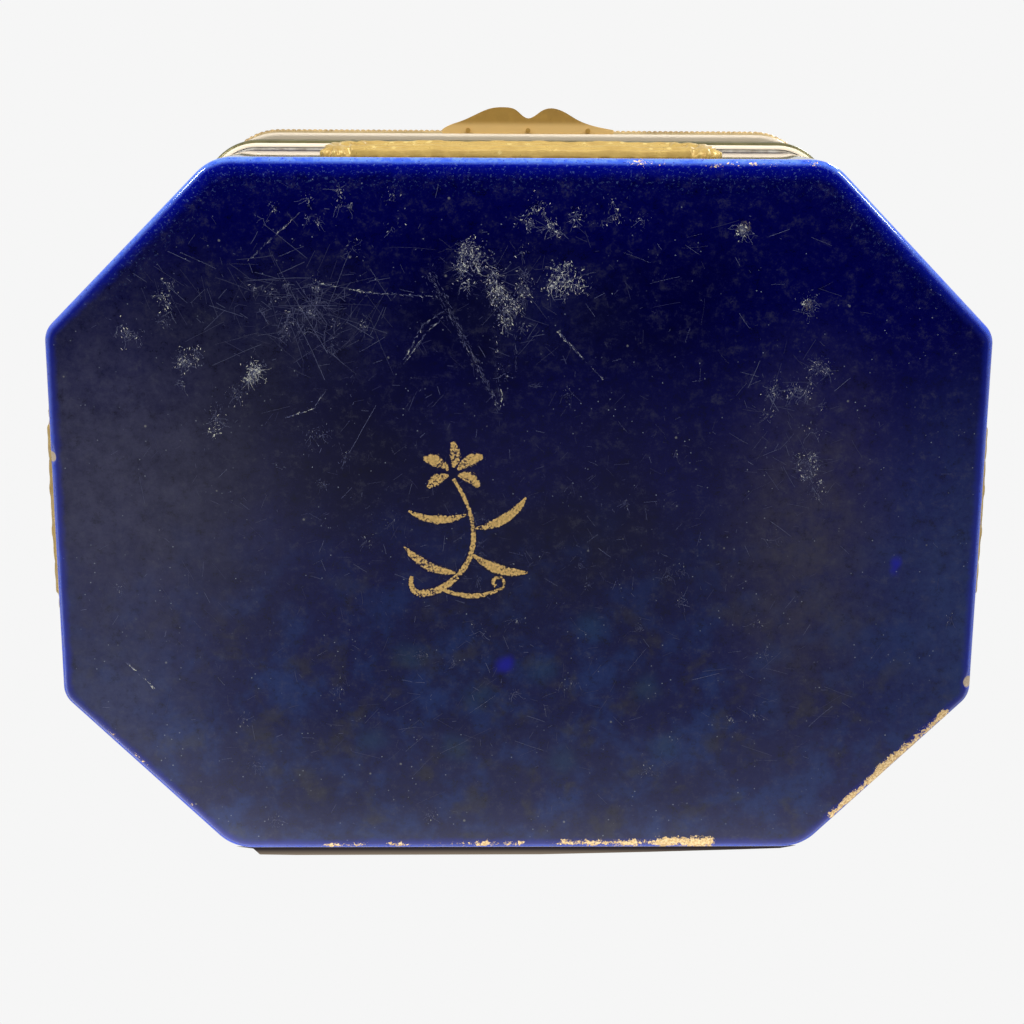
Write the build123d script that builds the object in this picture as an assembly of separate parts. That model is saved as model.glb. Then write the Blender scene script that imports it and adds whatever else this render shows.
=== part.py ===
"""A hinged porcelain casket: octagonal body and domed lid, each held in a brass rim mount.

Millimetres, +Z up, standing on its flat base at Z = 0. The front, with the thumbpiece, faces -Y and
the hinge is at the back, +Y. The origin is the middle of the footprint of the whole object.
"""

import os
from math import asin, degrees, sqrt

from build123d import *

# Porcelain body
WIDTH = 200.0  # across the short sides, on the porcelain
DEPTH = 152.6  # across the long sides, on the porcelain
CORNER_LEG = 36.0  # each 45 degree corner takes this much off both sides
LONG_CORNER_RADIUS = 10.5  # rounding where a corner face meets a long side
SHORT_CORNER_RADIUS = 5.5  # rounding where a corner face meets a short side
WALL = 5.0
FLOOR = 6.0
BODY_TOP = 48.0
FOOT_ROUNDING = 1.8

# Lid: its corners are cut a little deeper than the body's
LID_CORNER_LEG = 40.0
LID_OVERHANG = 1.0  # lid porcelain beyond the body porcelain, all round
LID_WALL = 4.5
LID_BOTTOM = 56.0
LID_TOP = 90.0
DOME_RADIUS = 330.0
SHOULDER_ROUNDING = 4.5

# Brass rim mounts
SEAM = 52.0  # top face of the body's mount
SEAM_GAP = 0.2
COLLAR_SKIRT_LOW = 44.8
COLLAR_PLATE = 1.4  # thickness of the flat face of each mount
COLLAR_SKIN = 0.8  # thickness of the skirt inside the porcelain
BEDDING = 0.4  # plaster between porcelain and brass
BODY_COLLAR_PROUD = 2.0
LID_FILLET_PROUD = 3.5  # lower step of the lid's mount, from the body porcelain
LID_BEAD_PROUD = 4.2  # upper bead of the lid's mount
LID_BEAD_LOW = 55.0
LID_BEAD_HIGH = 58.8
MOULDING_ROUNDING = 0.7

# Raised frames on the sides and lid
FRAME_HEIGHT = 36.0
FRONT_FRAME_WIDTH = 86.0
SIDE_FRAME_WIDTH = 52.0
FRAME_BAND = 6.0
FRAME_RAISED = 2.6
FRAME_CENTRE = 24.0
LID_FRAME_LONG = 132.0
LID_FRAME_SHORT = 88.0
LID_FRAME_RAISED = 1.8

# Hinge
HINGE_AXIS_OUT = 3.5  # axis beyond the back porcelain
HINGE_LENGTH = 74.0
KNUCKLES = 5
KNUCKLE_RADIUS = 2.4
KNUCKLE_GAP = 0.3
PIN_RADIUS = 1.0
RUNNING_FIT = 0.05
HINGE_CLEARANCE = 0.35
LEAF = 0.8
BEAD_RADIUS = 1.7
BEAD_SINK = 1.3  # from the flat of a bead, where the pin ends, to its centre

# Thumbpiece and catch
THUMB_OFFSET = 2.5  # it sits a little to the right of the middle
THUMB_OUT = 9.5  # tip of the humps beyond the body porcelain
LEFT_HUMP = [  # along the front, and out from the body porcelain: the left hump is the fuller one
    (-20, LID_BEAD_PROUD + 0.2), (-18.2, 5.4), (-15.6, 6.3), (-11.4, 8.2), (-8.8, THUMB_OUT - 0.3),
    (-5.6, THUMB_OUT), (-3.0, THUMB_OUT - 0.5), (-1.4, 7.7), (0, 7.0),
]
RIGHT_HUMP = [
    (1.5, 7.5), (3.4, 8.8), (5.4, THUMB_OUT - 0.2), (7.0, THUMB_OUT - 0.45), (8.8, 8.3),
    (11.0, 7.0), (13.7, 5.8), (16.7, 5.0), (20, LID_BEAD_PROUD + 0.2),
]
THUMB_PLATE = 1.2
TONGUE_WIDTH = 9.0
TONGUE_THICK = 0.6
RIVET_RADIUS = 0.55
RIVET_HEAD = 0.4

HINGE_Y = DEPTH / 2 + HINGE_AXIS_OUT
HINGE_Z = SEAM + SEAM_GAP / 2
LID_SEAT = SEAM + SEAM_GAP
FRONT_REACH = DEPTH / 2 + THUMB_OUT
BACK_REACH = HINGE_Y + KNUCKLE_RADIUS
CENTRING = (FRONT_REACH - BACK_REACH) / 2  # puts the origin in the middle of the footprint


def octagon(proud, leg=CORNER_LEG):
    """The plan outline, moved outward by proud, with its eight corners rounded."""
    a, b = WIDTH / 2 + proud, DEPTH / 2 + proud
    c = leg + proud * (2 - sqrt(2))
    points = [
        (a - c, -b), (a, c - b), (a, b - c), (a - c, b),
        (c - a, b), (-a, b - c), (-a, c - b), (c - a, -b),
    ]
    plan = Polygon(*points, align=None)
    long_corners = plan.vertices().filter_by(lambda v: abs(abs(v.Y) - b) < 1e-6)
    plan = fillet(long_corners, LONG_CORNER_RADIUS + proud)
    short_corners = plan.vertices().filter_by(lambda v: abs(abs(v.X) - a) < 1e-6)
    return fillet(short_corners, max(SHORT_CORNER_RADIUS + proud, 1.0))


def prism(proud, low, high, leg=CORNER_LEG):
    """The plan outline, moved outward by proud, as a solid from low to high."""
    return Pos(0, 0, low) * extrude(octagon(proud, leg), high - low)


def ring(outer, inner, low, high, leg=CORNER_LEG):
    """A flat-sided ring between two offsets of the plan outline."""
    return prism(outer, low, high, leg) - prism(inner, low - 1, high + 1, leg)


def edges_at(solid, height):
    """The horizontal edges of a solid at one height."""
    return solid.edges().filter_by(lambda e: abs(e.bounding_box().max.Z - height) < 1e-4
                                   and abs(e.bounding_box().min.Z - height) < 1e-4)


def rod_x(radius, x0, x1, y, z):
    """A round bar along X."""
    return Pos((x0 + x1) / 2, y, z) * Rot(0, 90, 0) * Cylinder(radius, x1 - x0)


def block(x0, x1, y0, y1, z0, z1):
    """A box given by its limits."""
    return Pos((x0 + x1) / 2, (y0 + y1) / 2, (z0 + z1) / 2) * Box(x1 - x0, y1 - y0, z1 - z0)


def hinge_trough():
    """The clearance that both mounts leave round the hinge barrel and its end beads."""
    half = HINGE_LENGTH / 2 + 2 * BEAD_RADIUS + HINGE_CLEARANCE
    return rod_x(KNUCKLE_RADIUS + HINGE_CLEARANCE, -half, half, HINGE_Y, HINGE_Z)


def make_body():
    """Porcelain shell with a flat floor."""
    outside = prism(0, 0, BODY_TOP)
    outside = fillet(edges_at(outside, 0), FOOT_ROUNDING)
    return outside - prism(-WALL, FLOOR, BODY_TOP + 1)


def make_body_collar():
    """Channel mount over the body's mouth: outer moulding, flat face, inner skirt."""
    outside = prism(BODY_COLLAR_PROUD, COLLAR_SKIRT_LOW, SEAM)
    outside = fillet(edges_at(outside, COLLAR_SKIRT_LOW) + edges_at(outside, SEAM), MOULDING_ROUNDING)
    inside = -WALL - BEDDING
    channel = ring(BEDDING, inside, COLLAR_SKIRT_LOW - 1, SEAM - COLLAR_PLATE)
    hole = prism(inside - COLLAR_SKIN, COLLAR_SKIRT_LOW - 1, SEAM + 1)
    return outside - channel - hole - hinge_trough()


def make_body_bedding():
    """Plaster between the body's mount and the porcelain."""
    top = SEAM - COLLAR_PLATE
    plaster = ring(BEDDING, -WALL - BEDDING, COLLAR_SKIRT_LOW + 0.4, top)
    return plaster - ring(0, -WALL, COLLAR_SKIRT_LOW, BODY_TOP) - hinge_trough()


def dome(inset):
    """Everything under the lid's dome, moved inward by inset."""
    return Pos(0, 0, LID_TOP - DOME_RADIUS) * Sphere(DOME_RADIUS - inset)


def make_lid():
    """Porcelain lid: low upright wall under a shallow dome."""
    outside = prism(LID_OVERHANG, LID_BOTTOM, LID_TOP + 1, LID_CORNER_LEG) & dome(0)
    shoulder = outside.faces().sort_by(Axis.Z)[-1].edges()
    outside = fillet(shoulder, SHOULDER_ROUNDING)
    hollow = prism(LID_OVERHANG - LID_WALL, LID_BOTTOM - 1, LID_TOP, LID_CORNER_LEG)
    return outside - (hollow & dome(LID_WALL))


def make_lid_collar():
    """Channel mount under the lid's mouth: flat face, lower step, upper bead, inner skirt."""
    step = prism(LID_FILLET_PROUD, LID_SEAT, LID_BEAD_LOW, LID_CORNER_LEG)
    step = fillet(edges_at(step, LID_SEAT), MOULDING_ROUNDING)
    bead = prism(LID_BEAD_PROUD, LID_BEAD_LOW, LID_BEAD_HIGH, LID_CORNER_LEG)
    bead = fillet(edges_at(bead, LID_BEAD_HIGH), MOULDING_ROUNDING * 2)
    outer = LID_OVERHANG + BEDDING
    inner = LID_OVERHANG - LID_WALL - BEDDING
    channel = ring(outer, inner, LID_SEAT + COLLAR_PLATE, LID_BEAD_HIGH + 1, LID_CORNER_LEG)
    hole = prism(inner - COLLAR_SKIN, LID_SEAT - 1, LID_BEAD_HIGH + 1, LID_CORNER_LEG)
    return step + bead - channel - hole - hinge_trough()


def make_lid_bedding():
    """Plaster between the lid's mount and the porcelain."""
    outer = LID_OVERHANG + BEDDING
    inner = LID_OVERHANG - LID_WALL - BEDDING
    plaster = ring(outer, inner, LID_SEAT + COLLAR_PLATE, LID_BEAD_HIGH - 0.4, LID_CORNER_LEG)
    porcelain = ring(LID_OVERHANG, LID_OVERHANG - LID_WALL, LID_BOTTOM, LID_BEAD_HIGH, LID_CORNER_LEG)
    return plaster - porcelain - hinge_trough()


def cartouche(width, height, band):
    """Plan of a scroll frame: a rounded ring with a lobe at each corner and a crest on each long side."""
    lobe = band * 1.25
    x, z = width / 2 - lobe, height / 2 - lobe
    plan = RectangleRounded(width - 3, height - 4, band * 1.6)
    plan += [Pos(i * x, j * z) * Circle(lobe) for i in (-1, 1) for j in (-1, 1)]
    plan += [Pos(0, j * (height / 2 - band)) * Ellipse(band * 1.8, band) for j in (-1, 1)]
    return plan - RectangleRounded(width - 2 * band - 3, height - 2 * band - 4, band)


def make_side_frame(width, turn, distance):
    """A raised frame on the wall that faces the given turn about Z, 0 being the front."""
    plan = cartouche(width, FRAME_HEIGHT, FRAME_BAND)
    upright = Rot(90, 0, 0) * extrude(plan, FRAME_RAISED)
    return Rot(0, 0, turn) * Pos(0, -distance, FRAME_CENTRE) * upright


def make_lid_frame():
    """The raised frame that lies on the dome."""
    plan = cartouche(LID_FRAME_LONG, LID_FRAME_SHORT, FRAME_BAND)
    column = Pos(0, 0, LID_TOP - 30) * extrude(plan, 40)
    return column & (dome(-LID_FRAME_RAISED) - dome(0))


def knuckle_spans(first):
    """The X limits of every second knuckle, starting with number first."""
    pitch = HINGE_LENGTH / KNUCKLES
    spans = []
    for i in range(first, KNUCKLES, 2):
        left = -HINGE_LENGTH / 2 + i * pitch
        spans.append((left + KNUCKLE_GAP / 2, left + pitch - KNUCKLE_GAP / 2))
    return spans


def make_leaf(first, y0, y1, z0, z1, edge, bore):
    """One hinge leaf: a plate from z0 to z1, and its knuckles joined to it by short necks."""
    half = HINGE_LENGTH / 2 - KNUCKLE_GAP / 2
    leaf = block(-half, half, y0, y1, z0, z1)
    for x0, x1 in knuckle_spans(first):
        leaf += block(x0, x1, y0, y1, min(edge, z0), max(edge, z1))
        leaf += rod_x(KNUCKLE_RADIUS, x0, x1, HINGE_Y, HINGE_Z)
    return leaf - rod_x(bore, -half - 1, half + 1, HINGE_Y, HINGE_Z)


def make_body_leaf():
    """Leaf on the outer face of the body's mount, with the end and middle knuckles."""
    face = DEPTH / 2 + BODY_COLLAR_PROUD
    clear = HINGE_Z - KNUCKLE_RADIUS - HINGE_CLEARANCE
    return make_leaf(0, face, face + LEAF, COLLAR_SKIRT_LOW, clear, HINGE_Z - 1.5, PIN_RADIUS)


def make_lid_leaf():
    """Leaf on the outer face of the lid's bead, with the two knuckles between."""
    face = DEPTH / 2 + LID_BEAD_PROUD
    bore = PIN_RADIUS + RUNNING_FIT
    clear = HINGE_Z + KNUCKLE_RADIUS + HINGE_CLEARANCE
    return make_leaf(1, face, face + LEAF, clear, LID_BEAD_HIGH, HINGE_Z + 0.5, bore)


def make_hinge_pin():
    """The pin, through all the knuckles."""
    half = HINGE_LENGTH / 2
    return rod_x(PIN_RADIUS, -half, half, HINGE_Y, HINGE_Z)


def make_pin_beads():
    """A turned bead on each end of the pin, flat where it meets the pin."""
    flat = -degrees(asin(BEAD_SINK / BEAD_RADIUS))
    bead = Sphere(BEAD_RADIUS, arc_size1=flat, align=None)
    reach = HINGE_LENGTH / 2 + BEAD_SINK
    return [Pos(side * reach, HINGE_Y, HINGE_Z) * Rot(0, side * 90, 0) * bead for side in (-1, 1)]


def rivet_heads(places, radius, height, turn):
    """Round rivet heads with their flat sides at the given places, turned to face outward."""
    head = Rot(*turn) * Pos(0, 0, height / 2) * Cylinder(radius, height)
    return [Pos(*place) * head for place in places]


def make_leaf_rivets(outer_face, z):
    """Three rivet heads along a hinge leaf."""
    places = [(x, outer_face, z) for x in (-HINGE_LENGTH / 3, 0, HINGE_LENGTH / 3)]
    return rivet_heads(places, RIVET_RADIUS * 1.6, RIVET_HEAD, (-90, 0, 0))


def make_thumbpiece():
    """A flat plate with two humps and a notch between them, under the lid's bead."""
    root = DEPTH / 2 + LID_FILLET_PROUD
    outline = [(x, -(DEPTH / 2 + out)) for x, out in LEFT_HUMP + RIGHT_HUMP]
    first, last = outline[0], outline[-1]
    sides = [
        Line(last, (last[0], -root)),
        Line((last[0], -root), (first[0], -root)),
        Line((first[0], -root), first),
    ]
    curve = Spline(*outline)
    plan = make_face([curve, *sides])
    return Pos(THUMB_OFFSET, 0, LID_BEAD_LOW - THUMB_PLATE) * extrude(plan, THUMB_PLATE, dir=(0, 0, 1))


def make_thumb_rivets():
    """Rivet heads under the root of the thumbpiece."""
    y = -(DEPTH / 2 + LID_FILLET_PROUD + 1.3 * RIVET_RADIUS)
    z = LID_BEAD_LOW - THUMB_PLATE
    places = [(THUMB_OFFSET + x, y, z) for x in (-14, 0, 14)]
    return rivet_heads(places, RIVET_RADIUS, RIVET_HEAD, (180, 0, 0))


def make_catch_tongue():
    """Spring tongue on the skirt of the body's mount, with a bump near its top."""
    face = -(DEPTH / 2 - WALL - BEDDING - COLLAR_SKIN)
    half = TONGUE_WIDTH / 2
    strip = block(-half, half, face, face + TONGUE_THICK, COLLAR_SKIRT_LOW, LID_BEAD_HIGH - 1)
    bump = rod_x(0.9, -half, half, face, LID_BEAD_LOW + 1)
    return strip + bump


def make_catch_rivets():
    """Two rivet heads on the tongue."""
    inner = -(DEPTH / 2 - WALL - BEDDING - COLLAR_SKIN) + TONGUE_THICK
    places = [(x, inner, COLLAR_SKIRT_LOW + 2.2) for x in (-2.4, 2.4)]
    return rivet_heads(places, RIVET_RADIUS * 1.4, RIVET_HEAD, (-90, 0, 0))


def make_catch_lug():
    """Low ridge inside the lid's mount that the tongue's bump rides past."""
    face = -(DEPTH / 2 + LID_OVERHANG - LID_WALL - BEDDING - COLLAR_SKIN)
    half = TONGUE_WIDTH / 2 + 1
    return block(-half, half, face, face + 0.25, LID_SEAT + 0.6, LID_SEAT + 1.8)


def build_nodes():
    """Every piece of the casket by its node name."""
    half_width, half_depth = WIDTH / 2, DEPTH / 2
    leaf_low = (COLLAR_SKIRT_LOW + HINGE_Z - KNUCKLE_RADIUS - HINGE_CLEARANCE) / 2
    leaf_high = (LID_BEAD_HIGH + HINGE_Z + KNUCKLE_RADIUS + HINGE_CLEARANCE) / 2
    return {
        "body": make_body(),
        "body_bedding": make_body_bedding(),
        "body_collar": make_body_collar(),
        "frame_front": make_side_frame(FRONT_FRAME_WIDTH, 0, half_depth),
        "frame_back": make_side_frame(FRONT_FRAME_WIDTH, 180, half_depth),
        "frame_left": make_side_frame(SIDE_FRAME_WIDTH, -90, half_width),
        "frame_right": make_side_frame(SIDE_FRAME_WIDTH, 90, half_width),
        "hinge_leaf_body": make_body_leaf(),
        "hinge_rivets_body": make_leaf_rivets(half_depth + BODY_COLLAR_PROUD + LEAF, leaf_low),
        "hinge_pin": make_hinge_pin(),
        "hinge_pin_beads": make_pin_beads(),
        "catch_tongue": make_catch_tongue(),
        "catch_rivets": make_catch_rivets(),
        "lid": make_lid(),
        "lid_bedding": make_lid_bedding(),
        "lid_collar": make_lid_collar(),
        "lid_frame": make_lid_frame(),
        "thumbpiece": make_thumbpiece(),
        "thumbpiece_rivets": make_thumb_rivets(),
        "catch_lug": make_catch_lug(),
        "hinge_leaf_lid": make_lid_leaf(),
        "hinge_rivets_lid": make_leaf_rivets(half_depth + LID_BEAD_PROUD + LEAF, leaf_high),
    }


def export_nodes(nodes):
    """Writes one STEP file for each node, with the origin in the middle of the footprint."""
    os.makedirs("parts", exist_ok=True)
    for name, piece in nodes.items():
        solids = [s for p in (piece if isinstance(piece, list) else [piece]) for s in p.solids()]
        placed = [Pos(0, CENTRING, 0) * s for s in solids]
        shape = placed[0] if len(placed) == 1 else Compound(children=placed)
        export_step(shape, f"parts/{name}.step")
        print(f"{name}: {len(placed)} solid(s), {sum(s.volume for s in placed):.1f} mm3")


export_nodes(build_nodes())
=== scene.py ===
"""The finish of the hinged porcelain casket: glazes, gilding, brass mounts, studio and camera.

The casket stands upright in the frame: base at Z = 0, front towards -Y. The camera looks at the base
from below, as if the casket lay on its hinge with the base turned to the viewer.
"""

from math import atan2, cos, hypot, pi, radians, sin, sqrt, tan
from random import Random

import bmesh
import bpy
from mathutils import Matrix, Vector


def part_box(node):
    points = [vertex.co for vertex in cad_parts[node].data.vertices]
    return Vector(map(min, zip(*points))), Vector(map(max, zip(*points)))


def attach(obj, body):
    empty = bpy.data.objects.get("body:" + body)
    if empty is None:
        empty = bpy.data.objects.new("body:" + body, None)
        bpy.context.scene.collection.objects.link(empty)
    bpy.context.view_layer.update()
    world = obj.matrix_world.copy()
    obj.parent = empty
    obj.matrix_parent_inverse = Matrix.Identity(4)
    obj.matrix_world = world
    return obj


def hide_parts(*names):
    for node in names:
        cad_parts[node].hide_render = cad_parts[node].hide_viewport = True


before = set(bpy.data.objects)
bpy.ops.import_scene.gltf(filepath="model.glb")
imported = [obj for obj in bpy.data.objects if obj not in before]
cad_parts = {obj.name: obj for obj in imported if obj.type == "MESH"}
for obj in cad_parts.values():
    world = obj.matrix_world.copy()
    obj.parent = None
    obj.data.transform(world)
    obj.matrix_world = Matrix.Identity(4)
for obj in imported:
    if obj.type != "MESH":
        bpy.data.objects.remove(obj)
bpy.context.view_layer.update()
MM = 0.001

# Porcelain body and lid, from the frame
BODY_LOW, BODY_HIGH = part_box("body")
LID_LOW, LID_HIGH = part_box("lid")
CENTRE_Y = (BODY_LOW.y + BODY_HIGH.y) / 2
HALF_WIDTH = (BODY_HIGH.x - BODY_LOW.x) / 2
HALF_DEPTH = (BODY_HIGH.y - BODY_LOW.y) / 2
BODY_TOP = BODY_HIGH.z
LEG = 36 * MM  # what each corner face takes off the body's sides
LID_LEG = 40 * MM
LONG_RADIUS = 10.5 * MM
SHORT_RADIUS = 5.5 * MM
WALL = 5 * MM
FLOOR = 6 * MM
FOOT = 1.8 * MM  # rounding of the foot
DOME_RADIUS = 330 * MM
GILT_FILM = 0.05 * MM  # thickness of the gilding on the walls and the lid
BASE_FILM = 0.02  # in mm: how far the base lies above Z = 0, as room for its sprig and scratches
LID_WALL = 4.5 * MM
SHOULDER = 4.5 * MM
HINGE_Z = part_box("hinge_pin")[0].z / 2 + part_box("hinge_pin")[1].z / 2
WALLS = (  # each wall of the body: name, turn about Z in degrees, distance from the middle
    ("front", 0, HALF_DEPTH), ("back", 180, HALF_DEPTH),
    ("left", -90, HALF_WIDTH), ("right", 90, HALF_WIDTH))
BACKGROUND = 0.921  # linear value of the pale backdrop


# ---------------------------------------------------------------- plan outline and sweeps

def plan(proud, leg, counts=(100, 34, 64), arc=10):
    """Points of the octagonal plan moved outward by proud, with rounded corners.

    Each point is (x, y, outward x, outward y). Every offset has the same number of points. Counts are
    the divisions of a long side, a corner face and a short side.
    """
    a, b, c = HALF_WIDTH + proud, HALF_DEPTH + proud, leg + proud * (2 - sqrt(2))
    half = [Vector((a - c, -b)), Vector((a, c - b)), Vector((a, b - c)), Vector((a - c, b))]
    corners = half + [-corner for corner in half]
    stops = []
    for i, corner in enumerate(corners):
        ahead = (corner - corners[i - 1]).normalized()
        radius = max((LONG_RADIUS if i % 4 in (0, 3) else SHORT_RADIUS) + proud, 0.2 * MM)
        centre = corner - ahead * radius * tan(pi / 8) + Vector((-ahead.y, ahead.x)) * radius
        first = atan2(-ahead.x, ahead.y)
        stop = []
        for k in range(arc + 1):
            nx, ny = cos(first + pi / 4 * k / arc), sin(first + pi / 4 * k / arc)
            stop.append((centre.x + radius * nx, centre.y + radius * ny, nx, ny))
        stops.append(stop)
    long_side, face, short_side = counts
    points = []
    for i, (stop, n) in enumerate(zip(stops, (face, short_side, face, long_side) * 2)):
        x0, y0, nx, ny = stop[-1]
        x1, y1 = stops[(i + 1) % 8][0][:2]
        points += stop
        points += [(x0 + (x1 - x0) * k / n, y0 + (y1 - y0) * k / n, nx, ny) for k in range(1, n)]
    return points


def new_object(name, verts, faces, smooth=True, materials=(), face_slots=None):
    """A mesh object from vertices and faces, with outward normals."""
    mesh = bpy.data.meshes.new(name)
    mesh.from_pydata(verts, [], faces)
    if face_slots:
        mesh.polygons.foreach_set("material_index", face_slots)
    bm = bmesh.new()
    bm.from_mesh(mesh)
    bmesh.ops.recalc_face_normals(bm, faces=bm.faces)
    bm.to_mesh(mesh)
    bm.free()
    if smooth:
        mesh.shade_smooth()
    for material in materials:
        mesh.materials.append(material)
    obj = bpy.data.objects.new(name, mesh)
    bpy.context.scene.collection.objects.link(obj)
    return obj


def stacked(rings, closed):
    """Vertices and faces of rings in a row. Closed joins the last to the first, else both are capped."""
    size = len(rings[0])
    verts = [v for ring in rings for v in ring]
    faces = []
    for j in range(len(rings) if closed else len(rings) - 1):
        low, high = j * size, (j + 1) % len(rings) * size
        faces += [(low + i, low + (i + 1) % size, high + (i + 1) % size, high + i) for i in range(size)]
    if not closed:
        faces += [tuple(range(size)), tuple(range(len(verts) - size, len(verts)))]
    return verts, faces


def ring_at(proud, z, leg):
    """One ring of the plan at a height."""
    return [(x, y + CENTRE_Y, z) for x, y, _, _ in plan(proud, leg)]


def set_attribute(obj, name, values):
    """A float on each vertex, which a material can read."""
    attribute = obj.data.attributes.new(name, "FLOAT", "POINT")
    attribute.data.foreach_set("value", values)


def finish_piece(obj, body, slot, *nodes):
    """The piece rides on a body and stands for CAD nodes, which are hidden. The slot is not used."""
    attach(obj, body)
    if nodes:
        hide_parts(*nodes)
    return obj


# ---------------------------------------------------------------- material building

class Shader:
    """A material's node tree, with a short call for each kind of node that the finishes use."""

    def __init__(self, name):
        self.material = bpy.data.materials.new(name)
        self.material.use_nodes = True
        self.tree = self.material.node_tree
        self.bsdf = self.tree.nodes["Principled BSDF"]
        place = self.node("TexCoord").outputs["Object"]
        self.mm = self.vector("SCALE", place, scale=1000.0)

    def node(self, kind, inputs=None, **settings):
        """A new node with these settings, fed with values or sockets by name or number of the input."""
        made = self.tree.nodes.new("ShaderNode" + kind)
        for key, value in settings.items():
            setattr(made, key, value)
        for key, value in (inputs or {}).items():
            self.feed(made.inputs[key], value)
        return made

    def feed(self, socket, value):
        if isinstance(value, bpy.types.NodeSocket):
            self.tree.links.new(value, socket)
        elif isinstance(value, tuple) and len(value) == 3 and socket.type == "RGBA":
            socket.default_value = (*value, 1)
        else:
            socket.default_value = value

    def math(self, operation, *values):
        return self.node("Math", dict(enumerate(values)), operation=operation).outputs[0]

    def folded(self, operation, values):
        total = values[0]
        for value in values[1:]:
            total = self.math(operation, total, value)
        return total

    def times(self, *values):
        return self.folded("MULTIPLY", values)

    def plus(self, *values):
        return self.folded("ADD", values)

    def largest(self, *values):
        return self.folded("MAXIMUM", values)

    def vector(self, operation, *values, scale=None):
        made = self.node("VectorMath", dict(enumerate(values)), operation=operation)
        if scale is not None:
            made.inputs["Scale"].default_value = scale
        return made.outputs["Value" if operation == "LENGTH" else "Vector"]

    def rescale(self, value, low, high, to_low=0.0, to_high=1.0, smooth=True):
        inputs = dict(enumerate((value, low, high, to_low, to_high)))
        kind = "SMOOTHSTEP" if smooth else "LINEAR"
        return self.node("MapRange", inputs, interpolation_type=kind, clamp=True).outputs[0]

    def mix(self, factor, a, b):
        """The colour a where the factor is 0, b where it is 1."""
        made = self.node("Mix", {"Factor": factor}, data_type="RGBA", clamp_factor=True)
        self.feed(made.inputs[6], a)
        self.feed(made.inputs[7], b)
        return made.outputs[2]

    def blend(self, factor, a, b):
        """The number a where the factor is 0, b where it is 1."""
        return self.node("Mix", {"Factor": factor, 2: a, 3: b}, data_type="FLOAT").outputs[0]

    def noise(self, scale, vector=None, detail=3.0, rough=0.55, bend=0.0):
        inputs = {"Vector": vector or self.mm, "Scale": scale, "Detail": detail}
        return self.node("TexNoise", {**inputs, "Roughness": rough, "Distortion": bend}).outputs["Fac"]

    def cells(self, scale):
        """Distance to the nearest of many scattered points."""
        return self.node("TexVoronoi", {"Vector": self.mm, "Scale": scale}).outputs["Distance"]

    def moved(self, vector, offset=(0, 0, 0), turn=0.0, scale=(1, 1, 1)):
        """The place relative to offset, turned about Z, then stretched."""
        inputs = {"Vector": vector, "Location": offset, "Rotation": (0, 0, turn), "Scale": scale}
        return self.node("Mapping", inputs, vector_type="TEXTURE").outputs[0]

    def split(self, vector):
        return self.node("SeparateXYZ", {0: vector}).outputs

    def patch(self, vector, centre, size, soft=0.6):
        """1 in an ellipse, falling smoothly to 0 at its edge."""
        local = self.vector("MULTIPLY", self.moved(vector, (*centre, 0), 0.0, (*size, 1)), (1, 1, 0))
        return self.rescale(self.vector("LENGTH", local), 1 - soft, 1.0, 1.0, 0.0)

    def stroke(self, vector, a, b, width):
        """1 along the line from a to b, falling to 0 at width from it."""
        along = Vector(b) - Vector(a)
        x, y, _ = self.split(self.moved(vector, (*a, 0), atan2(along.y, along.x)))
        past = self.math("ABSOLUTE", self.math("SUBTRACT", x, along.length / 2))
        past = self.largest(self.math("SUBTRACT", past, along.length / 2), 0.0)
        near = self.math("SQRT", self.plus(self.times(past, past), self.times(y, y)))
        return self.rescale(near, 0.0, width, 1.0, 0.0)

    def bent(self, place, scale, reach):
        """The place shifted in X and Y by up to reach, changing slowly over the surface."""
        noise = self.node("TexNoise", {"Vector": self.mm, "Scale": scale}).outputs["Color"]
        centred = self.vector("SUBTRACT", noise, (0.5, 0.5, 0.5))
        return self.vector("ADD", place, self.vector("MULTIPLY", centred, (2 * reach, 2 * reach, 0)))

    def attribute(self, name):
        return self.node("Attribute", attribute_name=name).outputs["Fac"]

    def bump(self, height, strength, distance):
        inputs = {"Height": height, "Strength": strength, "Distance": distance}
        return self.node("Bump", inputs).outputs[0]

    def set(self, **values):
        for key, value in values.items():
            self.feed(self.bsdf.inputs[key.replace("_", " ")], value)

    def shown(self, shader):
        """Puts another shader in the place of the usual one."""
        self.tree.links.new(shader.outputs[0], self.tree.nodes["Material Output"].inputs["Surface"])
        return self.material


def cobalt_base(s):
    """Colour of the deep cobalt glaze with its mottling, before wear. Returns the colour socket."""
    broad = s.noise(0.022, detail=3.0)
    deep, rich = (0.0004, 0.0004, 0.021), (0.0005, 0.0006, 0.042)
    return s.mix(s.rescale(broad, 0.36, 0.66), deep, rich)


def glaze_bump(s):
    """Slight orange peel and a few pin pricks."""
    peel = s.noise(0.35, detail=2.0)
    pits = s.rescale(s.cells(0.22), 0.0, 0.035)
    return s.bump(s.plus(peel, s.times(pits, 0.12)), 0.12, 0.05 * MM)


RUBBED = (  # films on the base: centre, half size, strength, tone
    ((-90, -12), (52, 66), 0.75, (0.036, 0.037, 0.082)), ((62, 6), (26, 60), 0.60, (0.040, 0.037, 0.050)),
    ((98, 18), (34, 62), 0.80, (0.014, 0.028, 0.110)), ((-48, -42), (34, 22), 0.30, (0.030, 0.032, 0.060)),
    ((-88, 40), (30, 26), 0.45, (0.040, 0.050, 0.120)), ((2, -46), (30, 18), 0.16, (0.030, 0.034, 0.075)),
)
FILM_SPOTS = ((-24, 31), (-9, 40), (5, 34), (-14, 52), (10, 55), (28, 38), (33, 52), (-32, 50), (16, 24))
CHIPS = (((-99.6, -13.5), 1.3), ((99.2, 36.8), 1.5))  # glaze chips on the foot: place, radius
CHIP_TONE = (0.42, 0.33, 0.23)


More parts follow.
